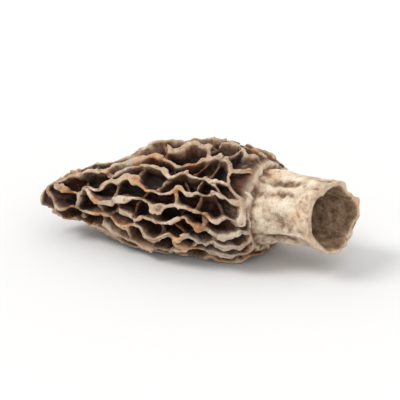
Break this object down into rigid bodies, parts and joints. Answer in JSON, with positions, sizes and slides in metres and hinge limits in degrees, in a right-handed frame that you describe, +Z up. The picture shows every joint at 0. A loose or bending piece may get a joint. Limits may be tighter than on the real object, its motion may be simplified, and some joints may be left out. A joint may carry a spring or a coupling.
{
  "type": "dried morel mushroom",
  "caption": "Small dried morel: shrivelled honeycomb cap of ribs and dark pits on a short hollow pale stem, lying on its side.",
  "frame": {"origin": "below the middle of the bounding box, on the surface that the morel rests on", "axes": "+X from the cap's tip towards the cut end of the stem, the longest extent; +Z up; the cap's tip curves towards -Y"},
  "size_m": [0.036, 0.0162, 0.0125],
  "materials": {
    "dried_flesh": "matt, dry and leathery; tan ribs, near-black brown pits, cream to orange-brown stem"
  },
  "bodies": {
    "root": {"dried_morel": "dried_flesh"}
  },
  "joints": []
}
